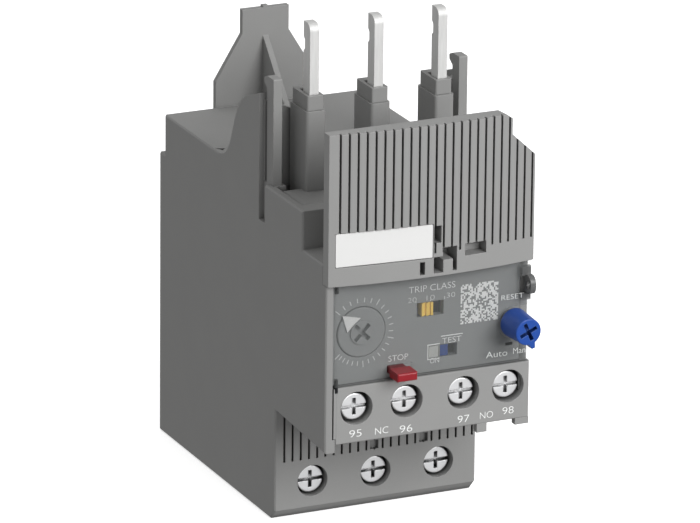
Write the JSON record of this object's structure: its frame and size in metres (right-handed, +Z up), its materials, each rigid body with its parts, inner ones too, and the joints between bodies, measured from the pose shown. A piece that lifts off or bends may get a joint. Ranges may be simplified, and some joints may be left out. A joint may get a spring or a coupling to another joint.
{
  "type": "overload relay",
  "caption": "Electronic overload relay for a contactor: plug-in bars on top, ribbed cover, setting dial under a hinged window, reset knob, stop button and screw terminals.",
  "frame": {"origin": "on the housing's flat base face, in its middle plane, 56 mm behind the front band and near the middle of the face", "axes": "+Z up along the plug bars, +X to the right seen from the front, +Y from the front panel to the back"},
  "size_m": [0.045, 0.0903, 0.1041],
  "materials": {
    "housing_plastic": "fine spark texture",
    "cover_plastic": "fine spark texture",
    "panel_plastic": "smooth moulded",
    "tower_plastic": "smooth moulded",
    "label_plastic": "smooth white",
    "clear_plastic": "clear polycarbonate",
    "red_plastic": "satin moulded",
    "blue_plastic": "satin moulded",
    "yellow_plastic": "satin moulded",
    "white_plastic": "smooth moulded",
    "black_plastic": "smooth moulded",
    "board_laminate": "solder mask",
    "tinned_copper": "matt tin plate",
    "plated_steel": "bright zinc plate",
    "spring_steel": "drawn wire",
    "contact_brass": "stamped",
    "core_steel": "laminated",
    "copper_winding": "enamelled wire"
  },
  "bodies": {
    "root": {"rear_housing": "housing_plastic", "back_cover": "housing_plastic", "front_cover": "cover_plastic", "control_terminal_block": "cover_plastic", "setting_panel": "panel_plastic", "terminal_tower_1": "tower_plastic", "terminal_tower_2": "tower_plastic", "terminal_tower_3": "tower_plastic", "bar_collar_1": "tower_plastic", "bar_collar_2": "tower_plastic", "bar_collar_3": "tower_plastic", "marker_label": "label_plastic", "status_light_pipe": "clear_plastic", "class_switch_body": "black_plastic", "test_switch_body": "black_plastic", "setting_potentiometer": "black_plastic", "board_components": "black_plastic", "circuit_board": "board_laminate", "plug_bar_1": "tinned_copper", "plug_bar_2": "tinned_copper", "plug_bar_3": "tinned_copper", "cover_hinge_pins": "plated_steel", "nc_contact_strips": "contact_brass", "no_contact_strips": "contact_brass", "transformer_core_1": "core_steel", "transformer_core_2": "core_steel", "transformer_core_3": "core_steel", "trip_magnet": "core_steel", "transformer_coil_1": "copper_winding", "transformer_coil_2": "copper_winding", "transformer_coil_3": "copper_winding", "trip_coil": "copper_winding"},
    "window": {"transparent_cover": "clear_plastic"},
    "dial": {"setting_dial": "panel_plastic", "dial_pointer": "label_plastic"},
    "class_tab": {"class_slider": "yellow_plastic"},
    "test_tab": {"test_slide": "blue_plastic"},
    "stop": {"stop_button": "red_plastic", "stop_spring": "spring_steel"},
    "reset_rod": {"reset_plunger": "white_plastic", "reset_spring": "spring_steel"},
    "reset_cap": {"reset_knob": "blue_plastic"},
    "plunger": {"trip_plunger": "plated_steel"},
    "carrier": {"contact_carrier": "white_plastic", "nc_bridge": "contact_brass", "no_bridge": "contact_brass"},
    "main_screw_1": {"main_terminal_screw_1": "plated_steel"},
    "main_clamp_1": {"main_terminal_clamp_1": "plated_steel"},
    "main_screw_2": {"main_terminal_screw_2": "plated_steel"},
    "main_clamp_2": {"main_terminal_clamp_2": "plated_steel"},
    "main_screw_3": {"main_terminal_screw_3": "plated_steel"},
    "main_clamp_3": {"main_terminal_clamp_3": "plated_steel"},
    "control_screw_95": {"control_terminal_screw_95": "plated_steel"},
    "control_clamp_95": {"control_terminal_clamp_95": "plated_steel"},
    "control_screw_96": {"control_terminal_screw_96": "plated_steel"},
    "control_clamp_96": {"control_terminal_clamp_96": "plated_steel"},
    "control_screw_97": {"control_terminal_screw_97": "plated_steel"},
    "control_clamp_97": {"control_terminal_clamp_97": "plated_steel"},
    "control_screw_98": {"control_terminal_screw_98": "plated_steel"},
    "control_clamp_98": {"control_terminal_clamp_98": "plated_steel"}
  },
  "joints": [
    {"name": "cover_swing", "type": "hinge", "parent": "root", "child": "window", "pos_m": [-0.02005, -0.05495, 0.04715], "axis": [0, 0, -1], "range_deg": [0, 105]},
    {"name": "dial_turn", "type": "hinge", "parent": "root", "child": "dial", "pos_m": [-0.0141, -0.0538, 0.0469], "axis": [0, 1, 0], "range_deg": [0, 270]},
    {"name": "class_select", "type": "slide", "parent": "root", "child": "class_tab", "axis": [1, 0, 0], "range_m": [-0.0009, 0.0023]},
    {"name": "test_push", "type": "slide", "parent": "root", "child": "test_tab", "axis": [1, 0, 0], "range_m": [0, 0.0018], "stiffness_N_per_m": 60, "springref_m": -0.001},
    {"name": "stop_press", "type": "slide", "parent": "root", "child": "stop", "axis": [0, 1, 0], "range_m": [0, 0.002], "stiffness_N_per_m": 300, "springref_m": -0.001},
    {"name": "reset_press", "type": "slide", "parent": "root", "child": "reset_rod", "axis": [0, 1, 0], "range_m": [0, 0.0016], "stiffness_N_per_m": 400, "springref_m": -0.001},
    {"name": "reset_select", "type": "hinge", "parent": "reset_rod", "child": "reset_cap", "pos_m": [0.0188, -0.062, 0.045], "axis": [0, 1, 0], "range_deg": [0, 45]},
    {"name": "trip_stroke", "type": "slide", "parent": "root", "child": "plunger", "axis": [0, 0, -1], "range_m": [0, 0.0015]},
    {"name": "contact_stroke", "type": "slide", "parent": "root", "child": "carrier", "axis": [0, 0, -1], "range_m": [0, 0.0015]},
    {"name": "main_screw_turn_1", "type": "hinge", "parent": "root", "child": "main_screw_1", "pos_m": [-0.0141, -0.0297, 0.00765], "axis": [0, 1, 0], "range_deg": [0, 2250]},
    {"name": "main_clamp_slide_1", "type": "slide", "parent": "root", "child": "main_clamp_1", "axis": [0, -1, 0], "range_m": [0, 0.005]},
    {"name": "main_screw_turn_2", "type": "hinge", "parent": "root", "child": "main_screw_2", "pos_m": [0, -0.0297, 0.00765], "axis": [0, 1, 0], "range_deg": [0, 2250]},
    {"name": "main_clamp_slide_2", "type": "slide", "parent": "root", "child": "main_clamp_2", "axis": [0, -1, 0], "range_m": [0, 0.005]},
    {"name": "main_screw_turn_3", "type": "hinge", "parent": "root", "child": "main_screw_3", "pos_m": [0.0141, -0.0297, 0.00765], "axis": [0, 1, 0], "range_deg": [0, 2250]},
    {"name": "main_clamp_slide_3", "type": "slide", "parent": "root", "child": "main_clamp_3", "axis": [0, -1, 0], "range_m": [0, 0.005]},
    {"name": "control_screw_turn_95", "type": "hinge", "parent": "root", "child": "control_screw_95", "pos_m": [-0.0156, -0.0538, 0.0315], "axis": [0, 1, 0], "range_deg": [0, 2088]},
    {"name": "control_clamp_slide_95", "type": "slide", "parent": "root", "child": "control_clamp_95", "axis": [0, -1, 0], "range_m": [0, 0.0029]},
    {"name": "control_screw_turn_96", "type": "hinge", "parent": "root", "child": "control_screw_96", "pos_m": [-0.0046, -0.0538, 0.0315], "axis": [0, 1, 0], "range_deg": [0, 2088]},
    {"name": "control_clamp_slide_96", "type": "slide", "parent": "root", "child": "control_clamp_96", "axis": [0, -1, 0], "range_m": [0, 0.0029]},
    {"name": "control_screw_turn_97", "type": "hinge", "parent": "root", "child": "control_screw_97", "pos_m": [0.0079, -0.0538, 0.0315], "axis": [0, 1, 0], "range_deg": [0, 2088]},
    {"name": "control_clamp_slide_97", "type": "slide", "parent": "root", "child": "control_clamp_97", "axis": [0, -1, 0], "range_m": [0, 0.0029]},
    {"name": "control_screw_turn_98", "type": "hinge", "parent": "root", "child": "control_screw_98", "pos_m": [0.0178, -0.0538, 0.0315], "axis": [0, 1, 0], "range_deg": [0, 2088]},
    {"name": "control_clamp_slide_98", "type": "slide", "parent": "root", "child": "control_clamp_98", "axis": [0, -1, 0], "range_m": [0, 0.0029]}
  ],
  "couplings": [
    {"joint": "contact_stroke", "follows": "trip_stroke", "ratio": 1},
    {"joint": "main_screw_turn_1", "follows": "main_clamp_slide_1", "rad_per_m": 7854},
    {"joint": "main_screw_turn_2", "follows": "main_clamp_slide_2", "rad_per_m": 7854},
    {"joint": "main_screw_turn_3", "follows": "main_clamp_slide_3", "rad_per_m": 7854},
    {"joint": "control_screw_turn_95", "follows": "control_clamp_slide_95", "rad_per_m": 12566},
    {"joint": "control_screw_turn_96", "follows": "control_clamp_slide_96", "rad_per_m": 12566},
    {"joint": "control_screw_turn_97", "follows": "control_clamp_slide_97", "rad_per_m": 12566},
    {"joint": "control_screw_turn_98", "follows": "control_clamp_slide_98", "rad_per_m": 12566}
  ]
}
